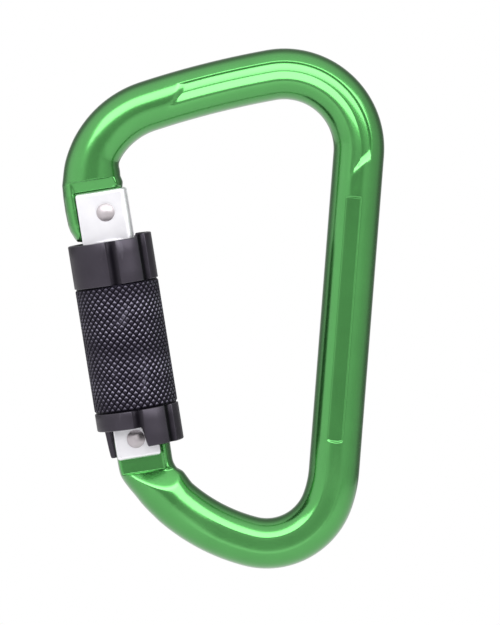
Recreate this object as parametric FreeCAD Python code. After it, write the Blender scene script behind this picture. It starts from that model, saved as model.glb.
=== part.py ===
import FreeCAD, Part
import os
import math

os.makedirs("parts", exist_ok=True)
vec = FreeCAD.Vector

# Frame: X towards the spine, Z up along the spine, Y through the thickness.
# The origin is the centre of the wide end's curve, on the mid-plane.

# Rod and its centreline, a chain of arcs that meet smoothly
rodRadius = 5.75
anchorRadius = 16.9
anchorTurn = 104.66
topArmRadius = 209.6
topArmTurn = 7.9
noseBendRadius = 19.9
spineLength = 71.9
heelRadius = 27.0
heelTurn = 15.4
basketRadius = 14.66
basketTurn = 84.6
lowerArmRadius = 41.8
lowerArmTurn = 32.0
hingeArmRadius = 65.6
hingeArmTurn = 7.5

# Recesses pressed into the front and back of the rod
recessSlope = 0.5
topRecessWidth = 2.0
topRecessDepth = 0.75
topRecessOffset = 1.45
topRecessRun = 1.3
spineRecessOffset = -0.45
spineRecessWidth = 3.2
spineRecessDepth = 0.55
basketRecessWidth = 3.0
basketRecessDepth = 0.2

# Gate line: origin on the sleeve's axis level with the hinge, leaning to the left
gateX = -27.43
gateZ = -67.71
gateLean = 13.42
hingeV = -1.05
latchV = 0.3
latchU = 51.7
gateTop = 56.6
gateBottom = -4.4
gateHalfWidth = 5.85
gateHalfDepth = 4.5
gateCorner = 1.4
latchBarShift = -0.17
latchBarHalfWidth = 5.75
hingeReliefV = 4.0
hingeReliefU = 2.2
shaftRadius = 5.6
shaftBottom = 3.0
shaftTop = 44.8
forkGap = 2.55
hingeForkTop = 6.6
latchForkBottom = 44.4

# Nose and hinge tang of the body
stepU = 59.2
noseHalfDepth = 2.3
noseEdgeHalfDepth = 3.6
lipBottom = 57.0
lipHalfDepth = 3.9
shelfHalfDepth = 3.3
slotHalf = 1.75
tangHalfDepth = 2.4
tangRimHalfDepth = 3.8
tangTop = 4.0
ridgeU = -7.9
rampBottom = -12.2

# Pins
pinRadius = 1.5
headRadius = 2.05
headHeight = 0.8
seatRadius = 2.35
seatDepth = 0.12
runningFit = 0.05

# Spring and plunger that close the gate
boreRadius = 2.1
boreTop = 24.0
plungerRadius = 1.9
plungerSeat = 10.0
stemRadius = 0.9
stemTop = 13.0
gateWire = 0.3
gateCoilRadius = 1.55
gateCoilPitch = 1.3

# Locking sleeve
sleeveRadius = 9.575
sleeveBore = 8.3
sleeveTop = 45.2
gripSeatRadius = 8.95
gripRadius = 9.5
gripBottom = 6.7
gripTop = 35.3
windowTop = 2.65
windowFrom = -123.0
windowTo = 8.0
shortSkirt = -1.8
longSkirt = -4.3
longSkirtFrom = 188.0
lipRise = 0.55
lipFrom = 46.5
lipTo = 137.0
skirtCorner = 0.8
fluteCount = 5
fluteFirst = 2.0
fluteStep = 49.0
fluteRadius = 1.6
fluteDepth = 0.7
twistRange = 100.0

# Bushes, stop pin and return spring inside the sleeve
bushBore = 5.65
lowerBushBottom = 3.1
lowerBushTop = 6.1
upperBushBottom = 41.6
upperBushTop = 44.7
stopPinRadius = 0.7
stopPinReach = 7.2
stopPinU = 4.2
returnWire = 0.4
returnCoilRadius = 6.95
returnCoilBottom = 8.2
returnCoilTurns = 11
returnCoilPitch = 2.7


def discAt(centre, heading, radius, depth):
    """Ellipse across the path, its long way in the mid-plane, as a closed wire."""
    side = vec(math.cos(math.radians(heading - 90)), 0, math.sin(math.radians(heading - 90)))
    if abs(radius - depth) < 1e-6:
        along = vec(math.cos(math.radians(heading)), 0, math.sin(math.radians(heading)))
        return Part.Wire(Part.Circle(centre, along, radius).toShape())
    if radius > depth:
        curve = Part.Ellipse(centre + side * radius, centre + vec(0, depth, 0), centre)
    else:
        curve = Part.Ellipse(centre + vec(0, depth, 0), centre + side * radius, centre)
    return Part.Wire(curve.toShape())


def recessFace(point, outward, offset, width, depth, facing):
    """Sloped channel profile that stands in the section plane at one point of the path."""
    middle = point + outward * offset
    floor = vec(0, facing * (rodRadius - depth), 0)
    brim = vec(0, facing * (rodRadius + 0.6), 0)
    flare = width / 2 + (depth + 0.6) * recessSlope
    corners = [
        middle + floor - outward * (width / 2),
        middle + floor + outward * (width / 2),
        middle + brim + outward * flare,
        middle + brim - outward * flare,
    ]
    return Part.Face(Part.makePolygon(corners + corners[:1]))


def arcPoint(centre, radius, heading):
    """Point on a clockwise arc where the path has this heading."""
    angle = math.radians(heading + 90)
    return centre + vec(radius * math.cos(angle), 0, radius * math.sin(angle))


def sweepArc(profile, centre, turn):
    """Turn a profile clockwise, as seen from the front, round an arc's centre."""
    return profile.revolve(centre, vec(0, 1, 0), turn)


def gatePoint(v, y, u):
    """Point given across the gate, through it and along it."""
    return gatePlace.multVec(vec(v, y, u))


def inGateFrame(shape):
    """Move a shape drawn upright on the gate's own axes into place."""
    placed = shape.copy()
    placed.Placement = gatePlace.multiply(placed.Placement)
    return placed


def upright(radius, bottom, top, v=0.0):
    """Cylinder along the gate."""
    return Part.makeCylinder(radius, top - bottom, vec(v, 0, bottom))


def across(radius, half, v, u):
    """Cylinder through the thickness of the gate."""
    return Part.makeCylinder(radius, 2 * half, vec(v, -half, u), vec(0, 1, 0))


def slab(outline, half):
    """Plate drawn in the mid-plane of the gate from corners of v and u."""
    corners = [vec(v, -half, u) for v, u in outline]
    face = Part.Face(Part.makePolygon(corners + corners[:1]))
    return face.extrude(vec(0, 2 * half, 0))


def bar(halfWidth, halfDepth, corner, bottom, top, shift=0.0):
    """Upright bar, its inner long corners well rounded and its outer ones only broken."""
    block = Part.makeBox(2 * halfWidth, 2 * halfDepth, top - bottom, vec(shift - halfWidth, -halfDepth, bottom))
    upEdges = [e for e in block.Edges if abs(e.tangentAt(e.FirstParameter).z) > 0.9]
    block = block.makeFillet(corner, [e for e in upEdges if e.CenterOfMass.x > 0])
    upEdges = [e for e in block.Edges if abs(e.tangentAt(e.FirstParameter).z) > 0.9]
    return block.makeFillet(0.3, [e for e in upEdges if e.CenterOfMass.x < shift - halfWidth + 0.01])


def sector(outer, bottom, top, start, end):
    """Wedge of a disc between two angles counted from the front, rising towards the inner side."""
    wedge = Part.makeCylinder(outer, top - bottom, vec(0, 0, bottom), vec(0, 0, 1), end - start)
    wedge.rotate(vec(0, 0, 0), vec(0, 0, 1), start - 90)
    return wedge


def rivet(v, u, shankRadius):
    """Pin through the fork with a domed head at each end."""
    pin = across(shankRadius, gateHalfDepth, v, u)
    ball = (headRadius * headRadius + headHeight * headHeight) / (2 * headHeight)
    for facing in (-1, 1):
        base = across(headRadius, gateHalfDepth + headHeight, v, u)
        dome = Part.makeSphere(ball, vec(v, facing * (gateHalfDepth + headHeight - ball), u))
        side = Part.makeBox(20, headHeight + 1 + seatDepth, 20, vec(v - 10, 0, u - 10))
        if facing < 0:
            side.translate(vec(0, -gateHalfDepth - headHeight - 1, 0))
        else:
            side.translate(vec(0, gateHalfDepth - seatDepth, 0))
        pin = pin.fuse(base.common(dome).common(side))
    return pin.removeSplitter()


def coil(radius, pitch, turns, wire, bottom):
    """Round wire wound into a helix along the gate."""
    path = Part.makeHelix(pitch, pitch * turns, radius)
    profile = Part.Wire(Part.Circle(vec(radius, 0, 0), vec(0, 1, 0), wire).toShape())
    spring = Part.Wire(path).makePipeShell([profile], True, True)
    spring.translate(vec(0, 0, bottom))
    return spring


gatePlace = FreeCAD.Placement(vec(gateX, 0, gateZ), FreeCAD.Rotation(vec(0, 1, 0), -gateLean))
origin = vec(0, 0, 0)

# Body: the rod is swept section by section round the loop
armHeading = anchorTurn - 90
topArmCentre = arcPoint(origin, anchorRadius - topArmRadius, armHeading)
noseHeading = armHeading + topArmTurn
noseBendCentre = arcPoint(topArmCentre, topArmRadius - noseBendRadius, noseHeading)
noseStart = 62.0
noseTop = arcPoint(noseBendCentre, noseBendRadius, noseStart)
spineTop = arcPoint(origin, anchorRadius, -90)
spineBottom = spineTop - vec(0, 0, spineLength)
heelCentre = spineBottom - vec(heelRadius, 0, 0)
heelEnd = -90 - heelTurn
basketCentre = arcPoint(heelCentre, heelRadius - basketRadius, heelEnd)
basketEnd = heelEnd - basketTurn
lowerArmCentre = arcPoint(basketCentre, basketRadius - lowerArmRadius, basketEnd)
lowerArmEnd = basketEnd - lowerArmTurn
hingeArmCentre = arcPoint(lowerArmCentre, lowerArmRadius - hingeArmRadius, lowerArmEnd)

pieces = []
chain = [
    (noseBendCentre, noseBendRadius, noseStart, noseStart - noseHeading),
    (topArmCentre, topArmRadius, noseHeading, topArmTurn),
    (origin, anchorRadius, armHeading, anchorTurn),
    (heelCentre, heelRadius, -90, heelTurn),
    (basketCentre, basketRadius, heelEnd, basketTurn),
    (lowerArmCentre, lowerArmRadius, basketEnd, lowerArmTurn),
    (hingeArmCentre, hingeArmRadius, lowerArmEnd, hingeArmTurn),
]
for centre, radius, heading, turn in chain:
    face = Part.Face(discAt(arcPoint(centre, radius, heading), heading, rodRadius, rodRadius))
    pieces.append(sweepArc(face, centre, turn))
spine = Part.makeCylinder(rodRadius, spineLength, spineBottom)
pieces.append(spine)

# The nose block widens from the round rod to the step above the latch
noseSections = [discAt(noseTop, noseStart, rodRadius, rodRadius)]
for heading, tilt, halfWidth, inward in [(70, 72, 5.78, 0.0), (79, 86, 6.15, 0.3)]:
    towards = vec(math.cos(math.radians(tilt - 90)), 0, math.sin(math.radians(tilt - 90)))
    centre = arcPoint(noseBendCentre, noseBendRadius, heading) + towards * inward
    noseSections.append(discAt(centre, tilt, halfWidth, rodRadius + 0.001))
stepCentre = gatePoint(-1.68, 0, stepU)
noseSections.append(discAt(stepCentre, 90 + gateLean, 6.95, rodRadius + 0.001))
noseBlock = Part.makeLoft(noseSections, True, False)
if noseBlock.Volume < 0:
    noseBlock.reverse()

# The nose is a flat hook between the plates of the gate, slotted from the inner side for the latch pin
noseOutline = [
    (-7.4, 61.2), (-8.5, 59.3), (-8.83, 56.2), (-8.86, 52.9), (-8.7, 49.8), (-8.35, 48.2), (-7.93, 47.1),
    (-7.3, 45.75), (-6.9, 45.75), (-5.6, 46.25), (-1.6, 46.45), (2.6, 46.6), (3.5, 47.6), (3.7, 49.85),
    (latchV, 49.85), (latchV, latchU + slotHalf), (4.6, latchU + slotHalf),
    (5.1, 54.4), (5.2, 59.0), (4.2, 60.5),
]
hook = slab(noseOutline, noseHalfDepth)
# its outer edge and its inner lip are thicker than the part between the plates
edgeOutline = noseOutline[:8] + [(-6.95, 45.75), (-6.3, 49.5), (-6.3, 61.2)]
noseEdge = slab(edgeOutline, noseEdgeHalfDepth)
outerEdges = [e for e in noseEdge.Edges if e.BoundBox.YLength < 0.01 and e.BoundBox.XMax < -7.9 and e.BoundBox.ZMax < 59.5]
noseEdge = noseEdge.makeFillet(1.3, outerEdges)
lipOutline = [(2.8, 61.0), (2.8, lipBottom + 0.8), (3.6, lipBottom), (4.4, lipBottom), (5.1, lipBottom + 0.7), (5.15, 59.0), (4.2, 60.5)]
noseLip = slab(lipOutline, lipHalfDepth)
shelf = slab([(-6.7, lipBottom), (2.9, lipBottom), (2.9, 61.0), (-6.7, 61.0)], shelfHalfDepth)
hook = hook.fuse(noseEdge).fuse(noseLip).fuse(shelf)
slotEnd = across(slotHalf, 4, latchV, latchU - 0.05)
hook = inGateFrame(hook.cut(slotEnd))

# The hinge tang stands between the lower plates of the gate
tangOutline = [
    (-5.5, -9.8), (-6.0, -8.0), (-6.12, -4.5), (-6.15, 0.6), (-5.5, 2.7), (-4.0, tangTop), (3.2, tangTop),
    (4.9, 1.6), (6.3, -1.6), (6.3, -6.7), (6.6, -7.8), (6.6, -9.8),
]
tang = slab(tangOutline, tangHalfDepth)
tangEdges = [e for e in tang.Edges if abs(e.tangentAt(e.FirstParameter).y) > 0.9 and e.CenterOfMass.z > -4]
tang = tang.makeFillet(0.8, tangEdges)
rimOutline = [(4.45, -9.8), (4.45, -2.2), (4.9, -1.6), (5.7, -1.6), (6.3, -2.3), (6.3, -6.7), (6.6, -7.8), (6.6, -9.8)]
tangRim = slab(rimOutline, tangRimHalfDepth)
rimEdges = [e for e in tangRim.Edges if e.BoundBox.YLength < 0.01 and e.BoundBox.XMin > 6.2 and e.BoundBox.ZMax < -2.2 and e.BoundBox.ZMin > -7]
tangRim = tangRim.makeFillet(1.3, rimEdges)
tang = inGateFrame(tang)
beyond = Part.makeBox(60, 40, 30, vec(-30, -20, ridgeU))
hingeArm = pieces[6].cut(inGateFrame(beyond))
pieces[6] = hingeArm
body = pieces[0].multiFuse(pieces[1:] + [noseBlock, hook, tang])
for facing in (-1, 1):
    ramp = [
        (ridgeU, tangHalfDepth), (rampBottom, rodRadius), (rampBottom, rodRadius + 3),
        (20.0, rodRadius + 3), (20.0, tangHalfDepth),
    ]
    corners = [vec(-15, facing * y, u) for u, y in ramp]
    cutter = Part.Face(Part.makePolygon(corners + corners[:1])).extrude(vec(30, 0, 0))
    body = body.cut(inGateFrame(cutter))

body = body.fuse(inGateFrame(tangRim))

# Recesses in both faces
recessCuts = []
for facing in (-1, 1):
    start = noseHeading - 2.2
    outward = (arcPoint(topArmCentre, 1, start) - topArmCentre)
    profile = recessFace(
        arcPoint(topArmCentre, topArmRadius, start), outward, topRecessOffset, topRecessWidth, topRecessDepth, facing)
    recessCuts.append(sweepArc(profile, topArmCentre, start - armHeading))
    outward = arcPoint(origin, 1, armHeading)
    profile = recessFace(
        arcPoint(origin, anchorRadius, armHeading), outward, topRecessOffset, topRecessWidth, topRecessDepth, facing)
    recessCuts.append(sweepArc(profile, origin, anchorTurn))
    profile = recessFace(spineTop, vec(1, 0, 0), topRecessOffset, topRecessWidth, topRecessDepth, facing)
    recessCuts.append(profile.extrude(vec(0, 0, -topRecessRun)))
    profile = recessFace(
        spineTop - vec(0, 0, 9.8), vec(1, 0, 0), spineRecessOffset, spineRecessWidth, spineRecessDepth, facing)
    recessCuts.append(profile.extrude(vec(0, 0, -55.2)))
    start = heelEnd - 8
    outward = arcPoint(basketCentre, 1, start) - basketCentre
    profile = recessFace(
        arcPoint(basketCentre, basketRadius, start), outward, 0.0, basketRecessWidth, basketRecessDepth, facing)
    recessCuts.append(sweepArc(profile, basketCentre, basketTurn - 8))
    outward = arcPoint(lowerArmCentre, 1, basketEnd) - lowerArmCentre
    profile = recessFace(
        arcPoint(lowerArmCentre, lowerArmRadius, basketEnd), outward, 0.0,
        basketRecessWidth, basketRecessDepth, facing)
    recessCuts.append(sweepArc(profile, lowerArmCentre, 11))
for cutter in recessCuts:
    body = body.cut(cutter)
body = body.cut(inGateFrame(across(pinRadius + runningFit, 8, hingeV, 0)))

# Gate: flat-faced plates at both ends and a round shaft for the sleeve between them
gate = upright(shaftRadius, shaftBottom - 0.5, shaftTop + 0.5)
lowerBar = bar(gateHalfWidth, gateHalfDepth, gateCorner, gateBottom, shaftBottom)
upperBar = bar(latchBarHalfWidth, gateHalfDepth, gateCorner, shaftTop, gateTop, latchBarShift)
upperBar = upperBar.makeFillet(0.7, [e for e in upperBar.Edges if e.BoundBox.ZMin > gateTop - 0.01])
gate = gate.fuse(lowerBar).fuse(upperBar)
lowFork = Part.makeBox(30, 2 * forkGap, 20 + hingeForkTop, vec(-15, -forkGap, -20))
highFork = Part.makeBox(30, 2 * forkGap, 20, vec(-15, -forkGap, latchForkBottom))
gate = gate.cut(lowFork).cut(highFork)
heelRelief = Part.makeBox(6, 20, 12, vec(hingeReliefV, -10, hingeReliefU - 12))
gate = gate.cut(heelRelief)
footEdges = [
    e for e in gate.Edges if e.BoundBox.ZMax < gateBottom + 0.01 and e.BoundBox.XLength < 0.01 and e.BoundBox.YLength > 1.0]
gate = gate.makeFillet(0.8, footEdges)
gate = gate.cut(upright(boreRadius, hingeForkTop - 1, boreTop))
gate = gate.cut(across(pinRadius, 9, hingeV, 0)).cut(across(pinRadius, 9, latchV, latchU))
for v, u in [(hingeV, 0), (latchV, latchU)]:
    seats = across(seatRadius, gateHalfDepth + 1, v, u).cut(across(seatRadius, gateHalfDepth - seatDepth, v, u))
    gate = gate.cut(seats)
stopHole = Part.makeCylinder(stopPinRadius, 3.0, vec(4.2, 0, stopPinU), vec(1, 0, 0))
stopHole.rotate(vec(0, 0, 0), vec(0, 0, 1), -90 - 150)
gate = gate.cut(stopHole)
legHole = Part.makeCylinder(returnWire + 0.05, 4, vec(3.6, 0, returnCoilBottom), vec(1, 0, 0))
gate = gate.cut(legHole)

hingeRivet = rivet(hingeV, 0, pinRadius)
latchPin = rivet(latchV, latchU, pinRadius)

stopPin = Part.makeCylinder(stopPinRadius, stopPinReach - 4.2, vec(4.2, 0, stopPinU), vec(1, 0, 0))
stopPin.rotate(vec(0, 0, 0), vec(0, 0, 1), -90 - 150)

# Plunger: a domed rod that presses on the tang beside the hinge
plunger = upright(plungerRadius, tangTop + 0.05 + plungerRadius, plungerSeat)
plunger = plunger.fuse(Part.makeSphere(plungerRadius, vec(0, 0, tangTop + 0.05 + plungerRadius)))
plunger = plunger.fuse(upright(stemRadius, plungerSeat - 0.5, stemTop)).removeSplitter()

gateCoilTurns = (boreTop - plungerSeat - 2 * gateWire - 0.1) / gateCoilPitch
gateSpring = coil(gateCoilRadius, gateCoilPitch, gateCoilTurns, gateWire, plungerSeat + gateWire + 0.05)

# Sleeve barrel with its grooves, skirts and rivet window
barrel = upright(sleeveRadius, longSkirt, sleeveTop)
lip = sector(sleeveRadius, sleeveTop - 1, sleeveTop + lipRise, lipFrom, lipTo)
barrel = barrel.fuse(lip).removeSplitter()
rim = [e for e in barrel.Edges if e.BoundBox.ZMin > sleeveTop - 0.01 and e.BoundBox.ZLength < 0.01]
barrel = barrel.makeChamfer(0.2, [e for e in rim if e.BoundBox.XLength > 9 or e.BoundBox.YLength > 9])
barrel = barrel.cut(upright(sleeveBore, longSkirt - 1, sleeveTop + 2))
gripSeat = upright(sleeveRadius + 2, gripBottom, gripTop).cut(upright(gripSeatRadius, gripBottom - 1, gripTop + 1))
for index in range(fluteCount):
    angle = math.radians(fluteFirst + fluteStep * index - 90)
    reach = sleeveRadius - fluteDepth + fluteRadius
    for bottom, top in [(longSkirt - 1, gripBottom), (gripTop, sleeveTop + 2)]:
        place = vec(reach * math.cos(angle), reach * math.sin(angle), bottom)
        barrel = barrel.cut(Part.makeCylinder(fluteRadius, top - bottom, place))
barrel = barrel.cut(gripSeat)
barrel = barrel.cut(sector(sleeveRadius + 2, longSkirt - 1, windowTop, windowFrom, windowTo))
barrel = barrel.cut(sector(sleeveRadius + 2, longSkirt - 1, shortSkirt, windowTo - 5, longSkirtFrom))
wall = sleeveRadius - sleeveBore
for angle in (windowTo, longSkirtFrom, windowFrom):
    towards = vec(math.cos(math.radians(angle - 90)), math.sin(math.radians(angle - 90)), 0)
    corner = [
        e for e in barrel.Edges
        if e.BoundBox.ZLength < 0.01 and e.BoundBox.ZMax < shortSkirt + 0.01 and e.Length < wall + 0.1
        and abs(e.tangentAt(e.FirstParameter).dot(towards)) > 0.999
        and vec(e.CenterOfMass.x, e.CenterOfMass.y, 0).normalize().dot(towards) > 0.999]
    barrel = barrel.makeFillet(skirtCorner, corner)

grip = upright(gripRadius, gripBottom, gripTop).cut(upright(gripSeatRadius, gripBottom - 1, gripTop + 1))

# Split bushes that centre the sleeve on the gate; the lower one has the stop slot
upperBush = upright(sleeveBore, upperBushBottom, upperBushTop)
upperBush = upperBush.cut(upright(bushBore, upperBushBottom - 1, upperBushTop + 1))
upperBush = upperBush.cut(Part.makeBox(20, 0.8, 10, vec(0, -0.4, upperBushBottom - 3)))
lowerBush = upright(sleeveBore, lowerBushBottom, lowerBushTop)
lowerBush = lowerBush.cut(upright(bushBore, lowerBushBottom - 1, lowerBushTop + 1))
stopMargin = math.degrees((stopPinRadius + 0.12) / bushBore)
stopSlot = sector(stopPinReach + 0.25, lowerBushBottom - 1, stopPinU + stopPinRadius + 0.15,
                  -150 - twistRange - stopMargin, -150 + stopMargin)
lowerBush = lowerBush.cut(stopSlot)
lowerBush = lowerBush.cut(Part.makeBox(20, 0.8, 10, vec(0, -0.4, lowerBushBottom - 3)))

# Return spring wound round the shaft, one leg in the gate and one in the upper bush
returnSpring = coil(returnCoilRadius, returnCoilPitch, returnCoilTurns, returnWire, returnCoilBottom)
innerLeg = Part.makeCylinder(returnWire - 0.04, returnCoilRadius - 3.8, vec(3.8, 0, returnCoilBottom), vec(1, 0, 0))
coilTop = returnCoilBottom + returnCoilPitch * returnCoilTurns
outerLeg = Part.makeCylinder(returnWire - 0.04, 43.1 - coilTop, vec(returnCoilRadius, 0, coilTop - 0.1))
returnSpring = returnSpring.fuse(innerLeg).fuse(outerLeg)
upperBush = upperBush.cut(Part.makeCylinder(returnWire + 0.1, 2.6, vec(returnCoilRadius, 0, upperBushBottom - 1)))

shapes = {
    "body": body,
    "gate": inGateFrame(gate),
    "hinge_rivet": inGateFrame(hingeRivet),
    "latch_pin": inGateFrame(latchPin),
    "stop_pin": inGateFrame(stopPin),
    "spring_plunger": inGateFrame(plunger),
    "gate_spring": inGateFrame(gateSpring),
    "lock_sleeve": inGateFrame(barrel),
    "grip_ring": inGateFrame(grip),
    "upper_bush": inGateFrame(upperBush),
    "lower_bush": inGateFrame(lowerBush),
    "sleeve_spring": inGateFrame(returnSpring),
}
for name, shape in shapes.items():
    if len(shape.Solids) != 1:
        print(name, "has", len(shape.Solids), "solids")
    solid = shape.Solids[0]
    print(name, "valid", solid.isValid(), "volume", round(solid.Volume, 1), solid.BoundBox)
    solid.exportStep("parts/" + name + ".step")
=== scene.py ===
import bpy
import math
import numpy as np
from mathutils import Matrix, Vector


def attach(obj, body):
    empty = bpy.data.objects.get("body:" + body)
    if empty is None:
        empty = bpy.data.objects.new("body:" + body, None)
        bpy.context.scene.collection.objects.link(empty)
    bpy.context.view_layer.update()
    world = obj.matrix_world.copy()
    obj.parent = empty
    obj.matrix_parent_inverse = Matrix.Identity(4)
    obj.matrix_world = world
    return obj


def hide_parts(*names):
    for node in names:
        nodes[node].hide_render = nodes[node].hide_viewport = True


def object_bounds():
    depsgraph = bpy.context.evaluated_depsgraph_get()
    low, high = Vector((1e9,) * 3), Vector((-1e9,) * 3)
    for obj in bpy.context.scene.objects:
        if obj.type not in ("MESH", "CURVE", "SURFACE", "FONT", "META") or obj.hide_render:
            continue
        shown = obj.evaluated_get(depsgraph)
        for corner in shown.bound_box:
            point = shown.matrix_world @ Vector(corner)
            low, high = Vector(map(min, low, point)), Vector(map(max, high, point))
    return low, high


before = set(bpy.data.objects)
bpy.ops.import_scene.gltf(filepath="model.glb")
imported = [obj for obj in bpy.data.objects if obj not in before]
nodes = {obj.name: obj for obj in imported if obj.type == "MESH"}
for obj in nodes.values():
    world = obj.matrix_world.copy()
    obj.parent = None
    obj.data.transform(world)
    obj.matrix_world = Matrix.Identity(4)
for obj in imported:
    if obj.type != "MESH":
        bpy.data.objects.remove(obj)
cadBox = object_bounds()
mm = 0.001
print("frame loaded:", len(nodes), "nodes")

# the gate's own axes, from a point on the sleeve's axis: u runs up along the gate, v points into the loop
gateLine = {"x": -27.43, "z": -67.71, "lean": math.radians(13.42)}
gateV = np.array([math.cos(gateLine["lean"]), math.sin(gateLine["lean"])])
gateU = np.array([-math.sin(gateLine["lean"]), math.cos(gateLine["lean"])])


def fromGate(v, u):
    # x and z of points given by v and u: the origin plus v times one axis plus u times the other
    v, u = np.asarray(v, float)[..., None], np.asarray(u, float)[..., None]
    return np.array([gateLine["x"], gateLine["z"]]) + v * gateV + u * gateU


def toGate(x, z):
    # v and u of points: their offset from the origin projected on the two axes
    dx, dz = x - gateLine["x"], z - gateLine["z"]
    return dx * gateV[0] + dz * gateV[1], dx * gateU[0] + dz * gateU[1]


def smoothMin(a, b, radius):
    # the lower of two heights, rounded where they cross: (a + b - sqrt((a - b)^2 + radius^2)) / 2
    return 0.5 * (a + b - np.sqrt((a - b) ** 2 + radius ** 2))


def smoothStep(low, high, value):
    # 0 below low, 1 above high, and 3t^2 - 2t^3 between
    t = np.clip((value - low) / (high - low), 0, 1)
    return t * t * (3 - 2 * t)


def smoothThrough(points, count):
    # Catmull-Rom curve through points: cubic in each span, with the ends repeated
    points = np.asarray(points, float)
    padded = np.vstack([2 * points[0] - points[1], points, 2 * points[-1] - points[-2]])
    t = np.linspace(0, len(points) - 1, count)
    i = np.minimum(t.astype(int), len(points) - 2)
    f = (t - i)[:, None]
    a, b, c, d = padded[i], padded[i + 1], padded[i + 2], padded[i + 3]
    bend, twist = 2 * a - 5 * b + 4 * c - d, 3 * b - a - 3 * c + d
    return 0.5 * (2 * b + (c - a) * f + bend * f ** 2 + twist * f ** 3)


def meshFromGrid(name, grid, marks, closedRows=False, capped=False):
    # rows by columns of points, each row a closed ring, joined to the next row by quads; closedRows joins
    # the last row to the first, capped closes the ends with fans, and marks become point attributes
    rows, columns = grid.shape[:2]
    index = np.arange(rows * columns).reshape(rows, columns)
    nextRow = np.roll(index, -1, 0) if closedRows else index[1:]
    thisRow = index if closedRows else index[:-1]
    quads = np.stack([thisRow, np.roll(thisRow, -1, 1), np.roll(nextRow, -1, 1), nextRow], -1)
    points = grid.reshape(-1, 3)
    faces = quads.reshape(-1, 4).tolist()
    if capped:
        ends = np.stack([grid[0].mean(0), grid[-1].mean(0)])
        points = np.vstack([points, ends])
        first, last = index[0], index[-1]
        low, high = rows * columns, rows * columns + 1
        faces += np.stack([np.roll(first, -1), first, np.full(columns, low)], -1).tolist()
        faces += np.stack([last, np.roll(last, -1), np.full(columns, high)], -1).tolist()
    mesh = bpy.data.meshes.new(name)
    mesh.from_pydata((points * mm).tolist(), [], faces)
    mesh.update()
    for label, amount in marks.items():
        values = np.zeros(len(points))
        values[:rows * columns] = amount.reshape(-1)
        layer = mesh.attributes.new(label, "FLOAT", "POINT")
        layer.data.foreach_set("value", values.astype(np.float32))
    mesh.shade_smooth()
    piece = bpy.data.objects.new(name, mesh)
    bpy.context.scene.collection.objects.link(piece)
    return piece


rod = {
    "radius": 5.75,
    "anchorRadius": 16.9, "anchorTurn": 104.66,
    "topArmRadius": 209.6, "topArmTurn": 7.9,
    "noseBendRadius": 19.9, "noseBendStart": 62.0,
    "spineLength": 71.9,
    "heelRadius": 27.0, "heelTurn": 15.4,
    "basketRadius": 14.66, "basketTurn": 84.6,
    "lowerArmRadius": 41.8, "lowerArmTurn": 32.0,
    "stationStep": 0.75, "fineStep": 0.14, "fineReach": 0.9, "tangOverlap": 4.0,
    "edgeRounding": 0.16,
}
recess = {
    "topOuter": 2.45, "topInner": 0.45, "topDepth": 0.75, "outerWall": 0.3, "innerWall": 1.9,
    "topStartTurn": 2.2, "topEnd": 1.3, "skew": 0.75, "endSkew": 1.25, "endWall": 1.7,
    "topDetail": [8.0, 9.5], "topEndDetail": 2.4,
    "tailDepth": 0.16, "tailOffset": -0.2, "tailWidth": 0.75, "tailRise": [1.0, 3.0], "tailFall": [6.0, 9.6],
    "spineHalfWidth": 1.6, "spineOffset": -0.45, "spineDepth": 0.55, "spineStart": 9.8, "spineEnd": 65.0,
    "spineBow": 0.10, "spineWall": 0.35, "spineEndWall": 0.5,
    "basketHalfWidth": 1.7, "basketDepth": 0.2, "basketBefore": 1.0, "basketAfter": 8.0,
    "basketDetail": 2.0, "basketWall": 0.8, "basketEndWall": 30.0,
}
nose = {
    "stepU": 59.3, "hookHalf": 2.3, "shelfHalf": 3.0, "shelfRise": 0.27, "shelfU": 56.85,
    "stripHalf": 3.7, "stripV": -6.04, "stripFlare": 0.5, "pocketV": 3.0, "lipU": 57.2,
    "tipU": 46.4, "tipSlant": 0.45, "tipSlantTo": 48.4, "tipSize": 0.8, "tipDrop": 0.3,
    "tipSteps": [0.0, 0.55, 0.85], "tipDepth": [1.0, 1.9, 2.3],
    "slotU": 51.65, "slotRadius": 1.75, "slotV": 0.3, "rowStep": 0.5, "rowFine": 0.06, "rowReach": 0.35,
    "outerU": [46.4, 47.0, 47.6, 48.4, 49.8, 52.9, 56.2, 59.2],
    "outerV": [-7.2, -7.64, -8.0, -8.4, -8.7, -8.86, -8.83, -8.63],
    "innerU": [46.4, 47.6, 49.7, 54.4, 56.6, 57.4, 58.0, 58.8, 59.2],
    "innerV": [2.9, 3.5, 3.7, 4.9, 4.8, 5.0, 5.1, 4.88, 4.78],
    "stepRow": {"outer": -8.6, "inner": 4.76, "u": 59.25},
    # sections where the block turns into the rod: heading, tilt of the section, half width, shift inward
    "bend": [(79, 86, 6.3, 0.55), (70, 72, 5.85, 0.1)],
    "roundHalf": 6.69, "rounding": 0.7,
}
tang = {
    "half": 2.4, "ridgeU": -7.9, "rampStart": 2.45, "rampSlope": 0.66, "rampLean": 0.21, "rampWidth": 5.8,
    "rimV": 4.6, "rimHalf": 3.75, "rimTopU": -1.9, "rounding": 0.3,
    # v and u of the outer and the inner edge, from the rod up to the top of the tang
    "edges": [((-1.65, -16.0), (9.0, -10.75)), ((-3.3, -13.2), (8.25, -9.35)), ((-4.6, -11.0), (7.55, -8.7)),
              ((-5.5, -9.25), (6.9, -8.15)), ((-5.95, -7.95), (6.5, -7.25)), ((-6.12, -6.2), (6.28, -6.1)),
              ((-6.15, -3.0), (6.28, -3.6)), ((-6.1, 0.2), (6.2, -1.3)), ((-5.3, 2.5), (5.1, 1.2)),
              ((-4.2, 3.6), (4.0, 3.1)), ((-2.9, 4.0), (2.9, 3.95))],
}
# heights above this are clear of every surface, and stand for no floor at all
clear = 12.0


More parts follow.
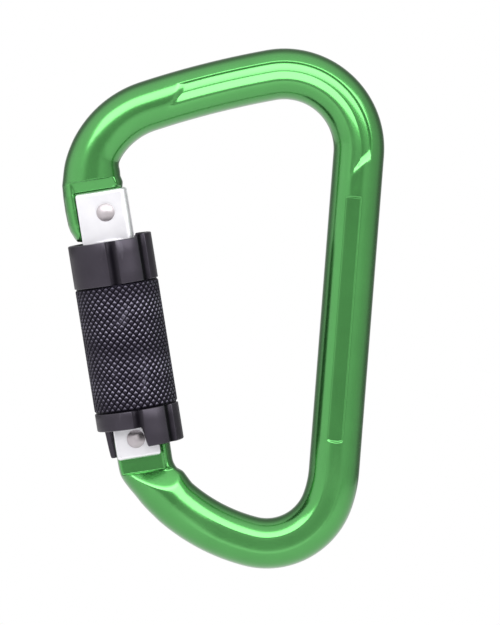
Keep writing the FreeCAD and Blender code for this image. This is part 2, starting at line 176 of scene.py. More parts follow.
def rodPath():
    # points, headings and distances along the centreline, and the distance at the end of each part of it:
    # arcs that turn clockwise, point = start + radius * change of (-sine, cosine), and one straight run
    start = rod["anchorTurn"] - 90 + rod["topArmTurn"]
    arcs = [
        (rod["noseBendRadius"], rod["noseBendStart"] - start),
        (rod["topArmRadius"], rod["topArmTurn"]),
        (rod["anchorRadius"], rod["anchorTurn"]),
        (None, rod["spineLength"]),
        (rod["heelRadius"], rod["heelTurn"]),
        (rod["basketRadius"], rod["basketTurn"]),
        (rod["lowerArmRadius"], rod["lowerArmTurn"]),
    ]
    points, headings, marks = [np.zeros((1, 2))], [np.array([rod["noseBendStart"]])], []
    travelled = 0.0
    heading = rod["noseBendStart"]
    distances = [np.zeros(1)]
    for radius, amount in arcs:
        length = amount if radius is None else radius * math.radians(amount)
        steps = max(2, int(length / 0.1))
        s = np.linspace(0, length, steps + 1)[1:]
        last = points[-1][-1]
        a0 = math.radians(heading)
        if radius is None:
            run = last + s[:, None] * np.array([math.cos(a0), math.sin(a0)])
            turned = np.full(steps, heading)
        else:
            a = a0 - s / radius
            run = last + radius * np.stack([math.sin(a0) - np.sin(a), np.cos(a) - math.cos(a0)], -1)
            turned = np.degrees(a)
        points.append(run)
        headings.append(turned)
        distances.append(travelled + s)
        travelled += length
        heading = turned[-1]
        marks.append(travelled)
    path = np.vstack(points)
    allHeadings = np.concatenate(headings)
    s = np.concatenate(distances)
    # put the start of the spine at its place: one anchor radius to the right of the origin
    spineTop = np.array([np.interp(marks[2], s, path[:, 0]), np.interp(marks[2], s, path[:, 1])])
    return path + np.array([rod["anchorRadius"], 0]) - spineTop, allHeadings, s, marks


def stationsWithDetail(start, end, step, details, fine, reach):
    # even steps from start to end, with finer steps within reach of each detail
    base = np.arange(start, end, step)
    extra = [np.arange(max(start, d - reach), min(end, d + reach), fine) for d in details]
    return np.unique(np.round(np.concatenate([base, [end]] + extra), 3))


def sectionAcross():
    # positions across the section, from 1 at the outer edge to -1 at the inner: the cosine of even angles
    # near both edges, and even steps between them where recess walls stand
    edge = np.cos(np.radians(np.linspace(0, 57, 15)))
    middle = np.linspace(edge[-1], -0.46, 52)[1:]
    inner = np.cos(np.radians(np.linspace(117.4, 180, 15)))[1:]
    return np.concatenate([edge, middle, inner])


def recessFloor(across, along, marks):
    # height of the face inside each recess: crown or flat sunk by the depth, plus walls that rise
    # in a straight slope from the edges of the floor
    radius = rod["radius"]
    crown = np.sqrt(np.maximum(0.5, radius ** 2 - across ** 2))
    topStart = marks[0] + math.radians(recess["topStartTurn"]) * rod["topArmRadius"] + recess["skew"] * across
    topEnd = marks[2] + recess["topEnd"] - recess["skew"] * recess["endSkew"] * across
    walls = np.maximum.reduce([
        (across - recess["topOuter"]) / recess["outerWall"],
        (recess["topInner"] - across) / recess["innerWall"],
        (topStart - along) / recess["endWall"], (along - topEnd) / recess["endWall"], np.zeros(across.shape)])
    top = crown - recess["topDepth"] * (1 - walls)
    side = np.abs(across - recess["spineOffset"]) - recess["spineHalfWidth"]
    bow = recess["spineBow"] * (across - recess["spineOffset"]) ** 2
    ends = np.maximum(marks[2] + recess["spineStart"] - along, along - marks[2] - recess["spineEnd"] + bow)
    spine = (radius - recess["spineDepth"] + np.maximum(0, side) / recess["spineWall"]
             + np.maximum(0, ends) / recess["spineEndWall"])
    side = np.abs(across) - recess["basketHalfWidth"]
    ends = np.maximum(marks[4] - recess["basketBefore"] - along, along - marks[5] - recess["basketAfter"])
    basket = (radius - recess["basketDepth"] + np.maximum(0, side) / recess["basketWall"]
              + np.maximum(0, ends) / recess["basketEndWall"])
    return np.minimum(np.minimum(top, spine), basket)


def tailGroove(across, along, marks):
    # depth of the faint groove from the top recess down to the spine recess:
    # exp(-(offset / width)^2) across, faded at both ends
    rise, fall = recess["tailRise"], recess["tailFall"]
    run = (smoothStep(marks[2] + rise[0], marks[2] + rise[1], along)
           * (1 - smoothStep(marks[2] + fall[0], marks[2] + fall[1], along)))
    return recess["tailDepth"] * run * np.exp(-((across - recess["tailOffset"]) / recess["tailWidth"]) ** 2)


def forgedFloor(x, z):
    # height of the flats forged at the two ends, by position along and across the gate: at the hinge a flat,
    # a ramp below it and a rim beside it, and at the nose a flat, a shelf above it, a strip and a lip
    v, u = toGate(x, z)
    high = np.full(v.shape, clear)
    ridge = tang["ridgeU"]
    below = 1 - smoothStep(ridge - 0.1, ridge + 0.15, u)
    ramp = (tang["half"] + (tang["rampStart"] - tang["half"]) * below
            + np.maximum(0, ridge - u) * tang["rampSlope"]
            + below * (tang["rampWidth"] - v) * tang["rampLean"])
    rim = (smoothStep(tang["rimV"] - 0.3, tang["rimV"] + 0.4, v)
           * (1 - smoothStep(tang["rimTopU"] - 0.4, tang["rimTopU"] + 0.4, u))
           * smoothStep(ridge - 0.4, ridge + 0.6, u))
    atHinge = ramp + rim * (tang["rimHalf"] - tang["half"])
    high = np.where((u < 20) & (v < 12), atHinge, high)
    shelf = nose["shelfHalf"] - nose["hookHalf"] + nose["shelfRise"] * (u - nose["shelfU"])
    shelf = nose["hookHalf"] + shelf * smoothStep(nose["shelfU"] - 0.03, nose["shelfU"] + 0.15, u)
    flare = nose["stripFlare"] * smoothStep(nose["shelfU"] - 0.05, nose["shelfU"] + 1.65, u)
    outerStrip = 1 - smoothStep(nose["stripV"] - 0.2 - flare, nose["stripV"] + 0.1, v)
    innerLip = (smoothStep(nose["pocketV"] - 0.4, nose["pocketV"] + 1.0, v)
                * smoothStep(nose["lipU"] - 0.5, nose["lipU"] + 0.6, u))
    above = smoothStep(nose["stepU"] - 0.08, nose["stepU"] + 0.3, u)
    atNose = shelf + outerStrip * (nose["stripHalf"] - shelf)
    atNose = np.maximum(atNose, np.maximum(above, innerLip) * clear)
    return np.where((u > 40) & (u < 64) & (v < 12), atNose, high)


def hookRows():
    # edges of the tip and of the hook above it, outer and inner, in rows up to the step: v follows u
    # along each, the slot cuts a half circle out of the inner one, and the tip shrinks to its middle
    slotU, slotRadius = nose["slotU"], nose["slotRadius"]
    details = [slotU - slotRadius, slotU + slotRadius, nose["shelfU"] + 0.05]
    hookU = stationsWithDetail(nose["tipU"], nose["stepU"] - 0.35, nose["rowStep"], details,
                               nose["rowFine"], nose["rowReach"])
    hookOut = np.interp(hookU, nose["outerU"], nose["outerV"])
    hookIn = np.interp(hookU, nose["innerU"], nose["innerV"])
    slot = np.sqrt(np.maximum(0, slotRadius ** 2 - (hookU - slotU) ** 2))
    hookIn = np.where(np.abs(hookU - slotU) < slotRadius, nose["slotV"] - slot, hookIn)
    slant = (1 - smoothStep(nose["tipU"], nose["tipSlantTo"], hookU)) * nose["tipSlant"]
    hookOuter, hookInner = fromGate(hookOut, hookU - slant), fromGate(hookIn, hookU + slant * 0.3)
    steps = np.array(nose["tipSteps"])[:, None]
    tipMiddle = 0.5 * (hookOuter[0] + hookInner[0])
    size, drop = nose["tipSize"] + (1 - nose["tipSize"]) * steps, gateU * (1 - steps) * nose["tipDrop"]
    tipOuter = tipMiddle + (hookOuter[0] - tipMiddle) * size - drop
    tipInner = tipMiddle + (hookInner[0] - tipMiddle) * size - drop
    return tipOuter, tipInner, hookOuter, hookInner


def bendRows(centre, outer, inner, stepPair):
    # the block turned into the rod: a smooth curve through the step, two sections of the bend
    # and the start of the rod
    start, radius = math.radians(rod["noseBendStart"]), rod["noseBendRadius"]
    bendCentre = centre[0] - radius * np.array([-math.sin(start), math.cos(start)])
    pairs = [stepPair]
    for heading, tilt, half, inward in nose["bend"]:
        a, b = math.radians(heading), math.radians(tilt)
        middle = bendCentre + radius * np.array([-math.sin(a), math.cos(a)])
        side = np.array([math.sin(b), -math.cos(b)])
        pairs.append(np.hstack([middle + side * (inward - half), middle + side * (inward + half)]))
    pairs += [np.hstack([outer[0], inner[0]]), np.hstack([outer[4], inner[4]])]
    return smoothThrough(pairs, 65)[:49]


def makeBody():
    # the rod's section is carried from the tip of the nose round the loop to the top of the hinge tang:
    # point = middle + across * half width along the outer-to-inner line, y = +-depth * sqrt(1 - across^2),
    # held below the floors of the recesses and flats
    path, headings, s, marks = rodPath()
    details = [marks[0] + d for d in recess["topDetail"]]
    details += [marks[2] + d for d in (recess["topEndDetail"], recess["spineStart"], recess["spineEnd"])]
    details += [marks[4] + recess["basketDetail"], marks[5] + recess["basketAfter"]]
    along = stationsWithDetail(0, s[-1] - rod["tangOverlap"], rod["stationStep"], details,
                               rod["fineStep"], rod["fineReach"])
    centre = np.stack([np.interp(along, s, path[:, 0]), np.interp(along, s, path[:, 1])], -1)
    turn = np.radians(np.interp(along, s, headings))
    normal = np.stack([-np.sin(turn), np.cos(turn)], -1)
    outer, inner = centre + normal * rod["radius"], centre - normal * rod["radius"]

    tipOuter, tipInner, hookOuter, hookInner = hookRows()
    row = nose["stepRow"]
    stepPair = np.hstack([fromGate(row["outer"], row["u"]), fromGate(row["inner"], row["u"])])
    bend = bendRows(centre, outer, inner, stepPair)
    stepRows = smoothThrough([np.hstack([hookOuter[-1], hookInner[-1]]), stepPair], 9)[1:-1]

    # hinge forging, from the round rod to the top of the tang
    hingePairs = [np.hstack([outer[-5], inner[-5]]), np.hstack([outer[-1], inner[-1]])]
    hingePairs += [np.hstack([fromGate(*o), fromGate(*i)]) for o, i in tang["edges"]]
    hinge = smoothThrough(hingePairs, 12 * (len(hingePairs) - 1) + 1)[13:]

    outerLine = np.vstack([tipOuter, hookOuter, stepRows[:, :2], bend[:, :2], outer[1:], hinge[:, :2]])
    innerLine = np.vstack([tipInner, hookInner, stepRows[:, 2:], bend[:, 2:], inner[1:], hinge[:, 2:]])
    hooked = len(tipOuter) + len(hookOuter) + len(stepRows)
    # rows before and after the round rod count as far away along it, out of reach of its recesses
    away = 50.0
    distance = np.concatenate([
        np.full(hooked + len(bend), -away), along[1:], np.full(len(hinge), along[-1] + away)])
    depth = np.full(len(outerLine), rod["radius"])
    depth[:len(tipOuter)] = nose["tipDepth"]

    across = sectionAcross()
    middle, half = 0.5 * (outerLine + innerLine), 0.5 * (outerLine - innerLine)
    plan = middle[:, None] + half[:, None] * across[None, :, None]
    halfWidth = np.hypot(half[:, 0], half[:, 1])
    # the hook keeps the step's roundness at its edges, whatever the slot takes away
    roundHalf = halfWidth.copy()
    roundHalf[:hooked] = np.maximum(roundHalf[:hooked], nose["roundHalf"])
    fromEdge = np.minimum((1 - np.abs(across)) * halfWidth[:, None] / roundHalf[:, None], 1)
    crown = depth[:, None] * np.sqrt(np.maximum(0, 1 - (1 - fromEdge) ** 2))
    offAxis, travelled = across[None] * halfWidth[:, None], np.repeat(distance[:, None], len(across), 1)
    floor = np.minimum(recessFloor(offAxis, travelled, marks), forgedFloor(plan[..., 0], plan[..., 1]))
    rounding = np.where(distance < -1, nose["rounding"], rod["edgeRounding"])
    rounding = np.where(distance > along[-1], tang["rounding"], rounding)[:, None]
    height = np.maximum(0, smoothMin(crown, floor, rounding) - tailGroove(offAxis, travelled, marks))
    height[:, [0, -1]] = 0
    height[:, 1:-1] = np.maximum(height[:, 1:-1], 0.02)
    # painted highlight where the crown meets a floor, along the lips of the recesses and flats
    lipHighlight = np.exp(-((crown - floor) / 0.22) ** 2)
    front = np.stack([plan[..., 0], -height, plan[..., 1]], -1)
    back = np.stack([plan[..., 0], height, plan[..., 1]], -1)[:, 1:-1][:, ::-1]
    ring = np.concatenate([front, back], 1)
    lipHighlightRing = np.concatenate([lipHighlight, lipHighlight[:, 1:-1][:, ::-1]], 1)
    return meshFromGrid("bodyForging", ring, {"edge": lipHighlightRing}, capped=True)


grip = {
    "bottom": 6.7, "top": 35.3, "inner": 8.97, "peak": 9.5, "depth": 0.32, "flat": 0.42, "chamfer": 0.12,
    "around": 38, "rowPitch": 1.6, "samplesAround": 11, "samplesAlong": 11,
    "rimHeight": 0.78, "rimWidth": 0.2, "dimmest": 0.45,
}


def placeOnGate(v, y, u):
    # x, y, z of points given in the gate's axes
    plan = fromGate(v, u)
    return np.stack([plan[..., 0], y, plan[..., 1]], -1)


def makeGripRing():
    # radius = peak less depth times the larger of two saw waves that cross at a slant, which leaves pyramids
    columns = grip["around"] * grip["samplesAround"]
    length = grip["top"] - grip["bottom"] - 2 * grip["chamfer"]
    rows = int(length / grip["rowPitch"] * grip["samplesAlong"])
    angle = np.arange(columns) * 2 * np.pi / columns
    u = np.linspace(grip["bottom"] + grip["chamfer"], grip["top"] - grip["chamfer"], rows)
    turn = angle[None] * grip["around"] / (2 * np.pi)
    climb = u[:, None] / grip["rowPitch"]
    rising, falling = ((turn + climb) % 1.0) * 2 - 1, ((turn - climb) % 1.0) * 2 - 1
    groove = np.maximum(np.abs(rising), np.abs(falling))
    height = smoothStep(0, grip["flat"], 1 - groove)
    fade = smoothStep(0, 0.5, np.minimum(u - u[0], u[-1] - u))[:, None]
    radius = grip["peak"] - grip["depth"] * (1 - height * fade)
    innerRow = np.full((1, columns), grip["inner"])
    lowRow = np.full((1, columns), grip["peak"] - grip["depth"] - 0.02)
    radius = np.vstack([innerRow, lowRow, radius, lowRow, innerRow])
    levels = np.concatenate([[grip["bottom"], grip["bottom"]], u, [grip["top"], grip["top"]]])[:, None]
    grid = placeOnGate(radius * np.cos(angle), radius * np.sin(angle), np.repeat(levels, columns, 1))
    # painted highlight on the upper rims of the pyramids, uneven from one to the next by a sine of the cell's
    # numbers
    upper = smoothStep(0.0, 0.9, rising - falling)
    cell = np.floor(turn + climb) * 12.99 + np.floor(turn - climb) * 78.23
    lit = grip["dimmest"] + (1 - grip["dimmest"]) * np.abs(np.sin(cell))
    rimHighlight = np.exp(-((height - grip["rimHeight"]) / grip["rimWidth"]) ** 2) * fade * upper * lit
    hem = np.zeros((2, columns))
    # hollow is painted shade in the pits: 1 less the pyramid's height
    marks = {"edge": np.vstack([hem, rimHighlight, hem]), "hollow": np.vstack([hem, 1 - height * fade, hem])}
    return meshFromGrid("gripKnurl", grid, marks, closedRows=True)


barrel = {
    "radius": 9.57, "bore": 8.3, "seat": 8.95, "round": 0.24,
    "top": 45.2, "lipRise": 0.55, "lipFrom": 46.5, "lipTo": 137.0,
    "window": 2.65, "windowFrom": -123.0, "windowTo": 8.0,
    "shortSkirt": -1.8, "longSkirt": -4.3, "longFrom": 188.0, "stepSpread": 3.4, "lipSpread": 1.5,
    "fluteFirst": 2.0, "fluteStep": 49.0, "fluteCount": 5, "fluteRadius": 1.6, "fluteDepth": 0.7,
}


def makeBarrel():
    # a closed section of outer wall, top rim, bore and bottom rim is carried round the gate's axis;
    # angles are counted from the front and rise towards the inner side
    flutes = barrel["fluteFirst"] + barrel["fluteStep"] * np.arange(barrel["fluteCount"])
    steps = [barrel["windowFrom"] + 360] + [barrel[k] for k in ("windowTo", "longFrom", "lipFrom", "lipTo")]
    coarse = np.arange(-30, 330, 3.0)
    fine = [np.arange(d - 12, d + 12, 0.6) for d in flutes] + [np.arange(d - 5, d + 5, 0.4) for d in steps]
    degrees = np.unique(np.round(np.concatenate([coarse] + fine), 2))
    spread, lipSpread = barrel["stepSpread"], barrel["lipSpread"]
    turned = (degrees - barrel["windowTo"] + 180) % 360 - 180 + barrel["windowTo"]
    shortPart = smoothStep(barrel["windowTo"] - spread, barrel["windowTo"] + spread, turned)
    shortPart = np.where(degrees > 180, 1, shortPart)
    windowPart = smoothStep(360 + barrel["windowFrom"] - spread, 360 + barrel["windowFrom"] + spread, degrees)
    longPart = smoothStep(barrel["longFrom"] - spread, barrel["longFrom"] + spread, degrees)
    bottom = barrel["window"] + shortPart * (barrel["shortSkirt"] - barrel["window"])
    bottom = bottom + longPart * (barrel["longSkirt"] - barrel["shortSkirt"])
    bottom = bottom + windowPart * (barrel["window"] - bottom)
    lip = smoothStep(barrel["lipFrom"] - lipSpread, barrel["lipFrom"] + lipSpread, degrees)
    lip = lip * (1 - smoothStep(barrel["lipTo"] - lipSpread, barrel["lipTo"] + lipSpread, degrees))
    top = barrel["top"] + barrel["lipRise"] * lip

    reach = barrel["radius"] - barrel["fluteDepth"] + barrel["fluteRadius"]
    offset = np.radians(degrees[:, None] - flutes)
    chord = barrel["fluteRadius"] ** 2 - (reach * np.sin(offset)) ** 2
    nearWall = reach * np.cos(offset) - np.sqrt(np.maximum(chord, 0))
    hollow = np.where((chord > 0) & (np.cos(offset) > 0), nearWall, clear)
    wall = smoothMin(np.full(len(degrees), barrel["radius"]), hollow.min(1), 0.1)
    sunk = np.clip((barrel["radius"] - wall) / barrel["fluteDepth"], 0, 1)

    r = barrel["round"]
    levels = (barrel["seat"], barrel["bore"], grip["bottom"], grip["top"])
    seat, bore, low, high = [np.full(len(degrees), level) for level in levels]
    section = [(bore, bottom + r), (bore + 0.3 * r, bottom + 0.3 * r), (bore + r, bottom)]
    section += [(wall - r, bottom), (wall - 0.3 * r, bottom + 0.3 * r), (wall, bottom + r)]
    section += [(wall, bottom + (low - bottom - r) * t) for t in (0.35, 0.7)]
    shoulder = np.minimum(wall - r, seat + 0.05)
    section += [(wall, low - r), (wall - 0.3 * r, low - 0.3 * r), (shoulder, low), (seat, low)]
    section += [(seat, high), (shoulder, high), (wall - 0.15 * r, high + 0.3 * r), (wall, high + r)]
    section += [(wall, high + (top - high) * t) for t in (0.3, 0.5, 0.7)]
    section += [(wall, top - r), (wall - 0.3 * r, top - 0.3 * r), (wall - r, top)]
    section += [(bore + r, top), (bore + 0.3 * r, top - 0.3 * r), (bore, top - r)]
    radius, level = np.stack([p[0] for p in section]), np.stack([p[1] for p in section])
    angle = np.radians(degrees - 90)
    grid = placeOnGate(radius * np.cos(angle), radius * np.sin(angle), level)
    # painted highlight on the rounded outer corners of the rims, and painted shade in the flutes by their
    # depth
    edge = np.zeros(radius.shape)
    edge[[4, 9, 14, 20]] = 0.6
    deep = np.repeat(sunk[None], len(section), 0)
    return meshFromGrid("sleeveBarrel", grid, {"edge": edge, "hollow": deep}, closedRows=True)


def nodeGroup(name, inputs, outputs):
    group = bpy.data.node_groups.new(name, "ShaderNodeTree")
    for label, kind, value in inputs:
        socket = group.interface.new_socket(label, in_out="INPUT", socket_type=kind)
        if value is not None:
            socket.default_value = value
    for label, kind in outputs:
        group.interface.new_socket(label, in_out="OUTPUT", socket_type=kind)
    return group, group.nodes.new("NodeGroupInput"), group.nodes.new("NodeGroupOutput")


def joined(tree, pairs):
    for source, target in pairs:
        tree.links.new(source, target)


def mathNode(tree, operation, first, second):
    node = tree.nodes.new("ShaderNodeMath")
    node.operation = operation
    for socket, value in zip(node.inputs, (first, second)):
        if isinstance(value, (int, float)):
            socket.default_value = value
        else:
            tree.links.new(value, socket)
    return node.outputs[0]


def makeFineGrain():
    # microscopic blast texture: fine noise plus a broader mottling, as a height and a mask
    group, given, out = nodeGroup("fineGrain", [
        ("Vector", "NodeSocketVector", None), ("Fine Scale", "NodeSocketFloat", 4000.0),
        ("Broad Scale", "NodeSocketFloat", 160.0)],
        [("Height", "NodeSocketFloat"), ("Mottle", "NodeSocketFloat")])
    fine = group.nodes.new("ShaderNodeTexNoise")
    fine.inputs["Detail"].default_value = 3
    broad = group.nodes.new("ShaderNodeTexNoise")
    broad.inputs["Detail"].default_value = 4
    joined(group, [
        (given.outputs["Vector"], fine.inputs["Vector"]), (given.outputs["Fine Scale"], fine.inputs["Scale"]),
        (given.outputs["Vector"], broad.inputs["Vector"]),
        (given.outputs["Broad Scale"], broad.inputs["Scale"]),
        (fine.outputs["Fac"], out.inputs["Height"]), (broad.outputs["Fac"], out.inputs["Mottle"])])
    return group


def makeHandling():
    # sparse fine scuffs: stretched noise kept only at its crests
    group, given, out = nodeGroup("handlingScuffs", [
        ("Vector", "NodeSocketVector", None), ("Scale", "NodeSocketFloat", 220.0),
        ("Amount", "NodeSocketFloat", 0.35)], [("Mask", "NodeSocketFloat")])
    stretch = group.nodes.new("ShaderNodeMapping")
    stretch.inputs["Scale"].default_value = (1.0, 6.0, 0.5)
    stretch.inputs["Rotation"].default_value = (0.3, 0.5, 0.2)
    noise = group.nodes.new("ShaderNodeTexNoise")
    noise.inputs["Detail"].default_value = 6
    ramp = group.nodes.new("ShaderNodeMapRange")
    ramp.inputs["From Min"].default_value = 0.62
    ramp.inputs["From Max"].default_value = 0.78
    joined(group, [
        (given.outputs["Vector"], stretch.inputs["Vector"]),
        (stretch.outputs["Vector"], noise.inputs["Vector"]),
        (given.outputs["Scale"], noise.inputs["Scale"]), (noise.outputs["Fac"], ramp.inputs["Value"]),
        (mathNode(group, "MULTIPLY", ramp.outputs["Result"], given.outputs["Amount"]), out.inputs["Mask"])])
    return group


fineGrain = makeFineGrain()
handlingScuffs = makeHandling()

# edge is the colour of scuffs, and on edged pieces also of the painted highlight on marked rims and lips
finishes = {
    "greenAnodised": {
        "low": (0.060, 0.31, 0.062), "high": (0.078, 0.37, 0.080), "edge": (0.12, 0.48, 0.12),
        "metallic": 0.95, "roughness": (0.19, 0.27), "bump": 0.02, "fine": 5000.0, "broad": 120.0,
        "scuffs": 0.2, "coat": 1.0, "coatRoughness": 0.12},
    "clearAnodised": {
        "low": (0.77, 0.76, 0.80), "high": (0.87, 0.86, 0.89), "edge": (0.84, 0.82, 0.86),
        "metallic": 0.7, "roughness": (0.32, 0.42), "bump": 0.03, "fine": 6000.0, "broad": 300.0,
        "scuffs": 0.25, "coat": 0.0, "coatRoughness": 0.2},
    "blackAnodised": {
        "low": (0.036, 0.031, 0.042), "high": (0.052, 0.045, 0.060), "edge": (0.16, 0.15, 0.18),
        "metallic": 0.75, "roughness": (0.30, 0.40), "bump": 0.03, "fine": 5000.0, "broad": 200.0,
        "scuffs": 0.3, "coat": 0.1, "coatRoughness": 0.2},
    "gripAnodised": {
        "low": (0.014, 0.011, 0.020), "high": (0.024, 0.020, 0.033), "edge": (0.72, 0.68, 0.86),
        "metallic": 0.8, "roughness": (0.30, 0.40), "bump": 0.02, "fine": 6000.0, "broad": 300.0,
        "scuffs": 0.2, "coat": 0.0, "coatRoughness": 0.2},
    "pinSteel": {
        "low": (0.44, 0.40, 0.42), "high": (0.58, 0.54, 0.56), "edge": (0.66, 0.63, 0.64),
        "metallic": 0.95, "roughness": (0.40, 0.50), "bump": 0.05, "fine": 3000.0, "broad": 500.0,
        "scuffs": 0.4, "coat": 0.0, "coatRoughness": 0.2},
    "springWire": {
        "low": (0.42, 0.42, 0.43), "high": (0.58, 0.58, 0.59), "edge": (0.6, 0.6, 0.6),
        "metallic": 1.0, "roughness": (0.22, 0.36), "bump": 0.02, "fine": 3000.0, "broad": 500.0,
        "scuffs": 0.3, "coat": 0.0, "coatRoughness": 0.2},
    "bushPlastic": {
        "low": (0.02, 0.02, 0.022), "high": (0.035, 0.035, 0.038), "edge": (0.05, 0.05, 0.05),
        "metallic": 0.0, "roughness": (0.42, 0.55), "bump": 0.03, "fine": 2500.0, "broad": 300.0,
        "scuffs": 0.2, "coat": 0.0, "coatRoughness": 0.2},
}


def makeFinish(name, edged):
    # colour, roughness and bump vary with the shared grain and scuffs; on edged pieces the points marked
    # edge get a painted highlight, and those marked hollow get painted shade, darker and duller
    look = finishes[name]
    material = bpy.data.materials.new(name)
    material.use_nodes = True
    tree = material.node_tree
    shader = tree.nodes["Principled BSDF"]
    place = tree.nodes.new("ShaderNodeTexCoord")
    grain = tree.nodes.new("ShaderNodeGroup")
    grain.node_tree = fineGrain
    grain.inputs["Fine Scale"].default_value = look["fine"]
    grain.inputs["Broad Scale"].default_value = look["broad"]
    scuffs = tree.nodes.new("ShaderNodeGroup")
    scuffs.node_tree = handlingScuffs
    scuffs.inputs["Amount"].default_value = look["scuffs"]
    tone = tree.nodes.new("ShaderNodeMix")
    tone.data_type = "RGBA"
    tone.inputs["A"].default_value = (*look["low"], 1)
    tone.inputs["B"].default_value = (*look["high"], 1)
    scuffsAndHighlight = tree.nodes.new("ShaderNodeMix")
    scuffsAndHighlight.data_type = "RGBA"
    scuffsAndHighlight.inputs["B"].default_value = (*look["edge"], 1)
    joined(tree, [
        (place.outputs["Object"], grain.inputs["Vector"]), (place.outputs["Object"], scuffs.inputs["Vector"]),
        (grain.outputs["Mottle"], tone.inputs["Factor"]), (tone.outputs["Result"], scuffsAndHighlight.inputs["A"])])
    colour, amount = scuffsAndHighlight.outputs["Result"], scuffs.outputs["Mask"]
    if edged:
        # the edge mark adds a painted highlight in the edge colour, on top of the real scuffs
        mark = tree.nodes.new("ShaderNodeAttribute")
        mark.attribute_name = "edge"
        amount = mathNode(tree, "MAXIMUM", amount, mathNode(tree, "MULTIPLY", mark.outputs["Fac"], 0.6))
        # painted shade: points marked hollow are multiplied darker and get weaker specular
        hollow = tree.nodes.new("ShaderNodeAttribute")
        hollow.attribute_name = "hollow"
        paintedShade = tree.nodes.new("ShaderNodeMix")
        paintedShade.data_type = "RGBA"
        paintedShade.blend_type = "MULTIPLY"
        paintedShade.inputs["B"].default_value = (0.12, 0.11, 0.14, 1)
        joined(tree, [(hollow.outputs["Fac"], paintedShade.inputs["Factor"]), (colour, paintedShade.inputs["A"])])
        colour = paintedShade.outputs["Result"]
        gloss = mathNode(tree, "SUBTRACT", 0.5, mathNode(tree, "MULTIPLY", hollow.outputs["Fac"], 0.45))
        tree.links.new(gloss, shader.inputs["Specular IOR Level"])
    joined(tree, [(amount, scuffsAndHighlight.inputs["Factor"]), (colour, shader.inputs["Base Color"])])
    rough = tree.nodes.new("ShaderNodeMapRange")
    rough.inputs["To Min"].default_value, rough.inputs["To Max"].default_value = look["roughness"]
    bump = tree.nodes.new("ShaderNodeBump")
    bump.inputs["Strength"].default_value = look["bump"]
    bump.inputs["Distance"].default_value = 0.00005
    joined(tree, [
        (grain.outputs["Mottle"], rough.inputs["Value"]),
        (rough.outputs["Result"], shader.inputs["Roughness"]),
        (grain.outputs["Height"], bump.inputs["Height"]), (bump.outputs["Normal"], shader.inputs["Normal"])])
    shader.inputs["Metallic"].default_value = look["metallic"]
    shader.inputs["Coat Weight"].default_value = look["coat"]
    shader.inputs["Coat Roughness"].default_value = look["coatRoughness"]
    return material


def dress(piece, material):
    if not piece.data.materials:
        piece.data.materials.append(material)
    for slot in piece.material_slots:
        slot.material = material


body = makeBody()
dress(body, makeFinish("greenAnodised", True))
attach(body, "frame")
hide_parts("body")
print("body made")

gripRing = makeGripRing()
dress(gripRing, makeFinish("gripAnodised", True))
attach(gripRing, "sleeve")
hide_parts("grip_ring")
print("grip ring made")

sleeveBarrel = makeBarrel()
dress(sleeveBarrel, makeFinish("blackAnodised", True))
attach(sleeveBarrel, "sleeve")
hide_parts("lock_sleeve")
print("sleeve barrel made")

carried = {
    "clearAnodised": ["gate"],
    "pinSteel": ["hinge_rivet", "latch_pin", "stop_pin", "spring_plunger"],
    "springWire": ["gate_spring", "sleeve_spring"],
    "bushPlastic": ["upper_bush", "lower_bush"],
}
for finish, names in carried.items():
    material = makeFinish(finish, False)
    for name in names:
        dress(nodes[name], material)
print("finishes applied")

studio = {
    "floorDrop": 0.33, "floorSize": 4.0,
    "topPower": 32.0, "topWidth": 3.2, "topDepth": 0.95,
    "topPlace": (0.15, -1.09, 0.80), "topTarget": (0, 0, -0.038),
    "ring": [(0.0, 0.50), (0.025, 0.52), (0.055, 0.82), (0.09, 1.05), (0.40, 1.12), (0.60, 0.9), (0.70, 0.5),
             (0.80, 0.25), (0.90, 0.20), (1.0, 0.45)],
    "tentLevel": 2.0, "rightDim": 0.42,
}
view = {
    "target": (-4.90, 0.0, -37.65), "elevation": 3.0, "roll": 4.4, "distance": 1000.0,
    "sensorHeight": 24.0, "frameHeight": 141.8,
}


def makeStage():
    # flat pale square under the hanging object
    half = studio["floorSize"] / 2
    z = cadBox[0][2] - studio["floorDrop"]
    mesh = bpy.data.meshes.new("studioFloor")
    corners = [(x * half, y * half, z) for x, y in ((-1, -1), (1, -1), (1, 1), (-1, 1))]
    mesh.from_pydata(corners, [], [(0, 1, 2, 3)])
    floor = bpy.data.objects.new("studioFloor", mesh)
    bpy.context.scene.collection.objects.link(floor)
    material = bpy.data.materials.new("paleFloor")
    material.use_nodes = True
    shader = material.node_tree.nodes["Principled BSDF"]
    shader.inputs["Base Color"].default_value = (0.74, 0.74, 0.74, 1)
    shader.inputs["Roughness"].default_value = 0.9
    mesh.materials.append(material)


def makeSoftbox(name):
    # one wide lamp in front and above, turned to the middle of the object
    light = bpy.data.lights.new(name, "AREA")
    light.energy = studio["topPower"]
    light.shape = "RECTANGLE"
    light.size, light.size_y = studio["topWidth"], studio["topDepth"]
    lamp = bpy.data.objects.new(name, light)
    lamp.location = studio["topPlace"]
    aim = Vector(studio["topTarget"]) - Vector(studio["topPlace"])
    lamp.rotation_euler = aim.to_track_quat("-Z", "Y").to_euler()
    bpy.context.scene.collection.objects.link(lamp)


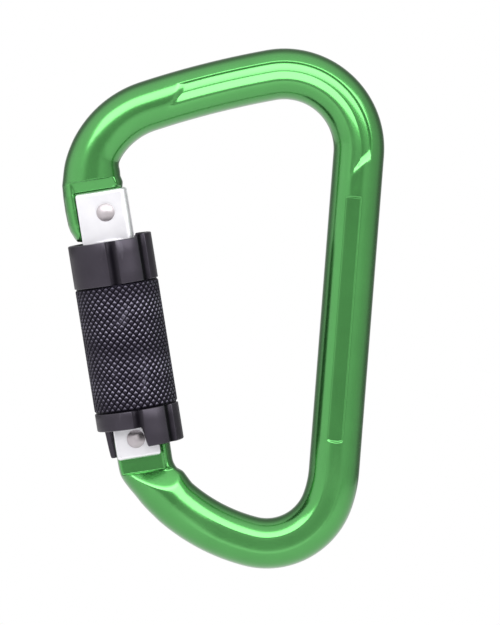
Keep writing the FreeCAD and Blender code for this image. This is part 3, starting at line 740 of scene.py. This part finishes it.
def makeWorld():
    # a light tent: white where the camera sees it, and for reflections a ring that is
    # dim straight in front, bright at the sides and dark towards the back
    world = bpy.data.worlds.new("studioWorld")
    bpy.context.scene.world = world
    world.use_nodes = True
    tree = world.node_tree
    seen = tree.nodes["Background"]
    seen.inputs["Color"].default_value = (1, 1, 1, 1)
    seen.inputs["Strength"].default_value = 1.0
    lit = tree.nodes.new("ShaderNodeBackground")
    place = tree.nodes.new("ShaderNodeTexCoord")
    parts = tree.nodes.new("ShaderNodeSeparateXYZ")
    ring = tree.nodes.new("ShaderNodeMapRange")
    ring.inputs["From Min"].default_value = -1.0
    ramp = tree.nodes.new("ShaderNodeValToRGB")
    stops = ramp.color_ramp.elements
    while len(stops) < len(studio["ring"]):
        stops.new(0.5)
    for stop, (position, level) in zip(stops, studio["ring"]):
        stop.position = position
        stop.color = (*[level / studio["tentLevel"]] * 3, 1)
    dim = tree.nodes.new("ShaderNodeMapRange")
    dim.inputs["From Min"].default_value = 0.2
    dim.inputs["To Min"].default_value = studio["tentLevel"]
    dim.inputs["To Max"].default_value = studio["tentLevel"] * (1 - studio["rightDim"])
    mix = tree.nodes.new("ShaderNodeMixShader")
    ray = tree.nodes.new("ShaderNodeLightPath")
    joined(tree, [
        (place.outputs["Generated"], parts.inputs["Vector"]), (parts.outputs["Y"], ring.inputs["Value"]),
        (parts.outputs["X"], dim.inputs["Value"]), (dim.outputs["Result"], lit.inputs["Strength"]),
        (ring.outputs["Result"], ramp.inputs["Fac"]), (ramp.outputs["Color"], lit.inputs["Color"]),
        (ray.outputs["Is Camera Ray"], mix.inputs["Fac"]), (lit.outputs["Background"], mix.inputs[1]),
        (seen.outputs["Background"], mix.inputs[2]),
        (mix.outputs["Shader"], tree.nodes["World Output"].inputs["Surface"])])


def makeCamera():
    # looks along +Y from a little above, rolled so that the spine leans to the right
    camera = bpy.data.cameras.new("camera")
    camera.sensor_fit = "VERTICAL"
    camera.sensor_height = view["sensorHeight"]
    camera.lens = view["sensorHeight"] * view["distance"] / view["frameHeight"]
    camera.clip_end = 20.0
    holder = bpy.data.objects.new("camera", camera)
    lift, roll = math.radians(view["elevation"]), math.radians(view["roll"])
    away = Vector((0, -math.cos(lift), math.sin(lift)))
    target = Vector(view["target"]) * mm
    up = Vector((0, math.sin(lift), math.cos(lift)))
    right = Vector((1, 0, 0))
    rolledUp = up * math.cos(roll) - right * math.sin(roll)
    rolledRight = right * math.cos(roll) + up * math.sin(roll)
    turned = Matrix((rolledRight, rolledUp, away)).transposed().to_4x4()
    holder.matrix_world = Matrix.Translation(target + away * view["distance"] * mm) @ turned
    bpy.context.scene.collection.objects.link(holder)
    bpy.context.scene.camera = holder


makeStage()
makeSoftbox("topSoftbox")
makeWorld()
makeCamera()
bpy.context.scene.view_settings.view_transform = "Standard"
print("stage, light and camera made")
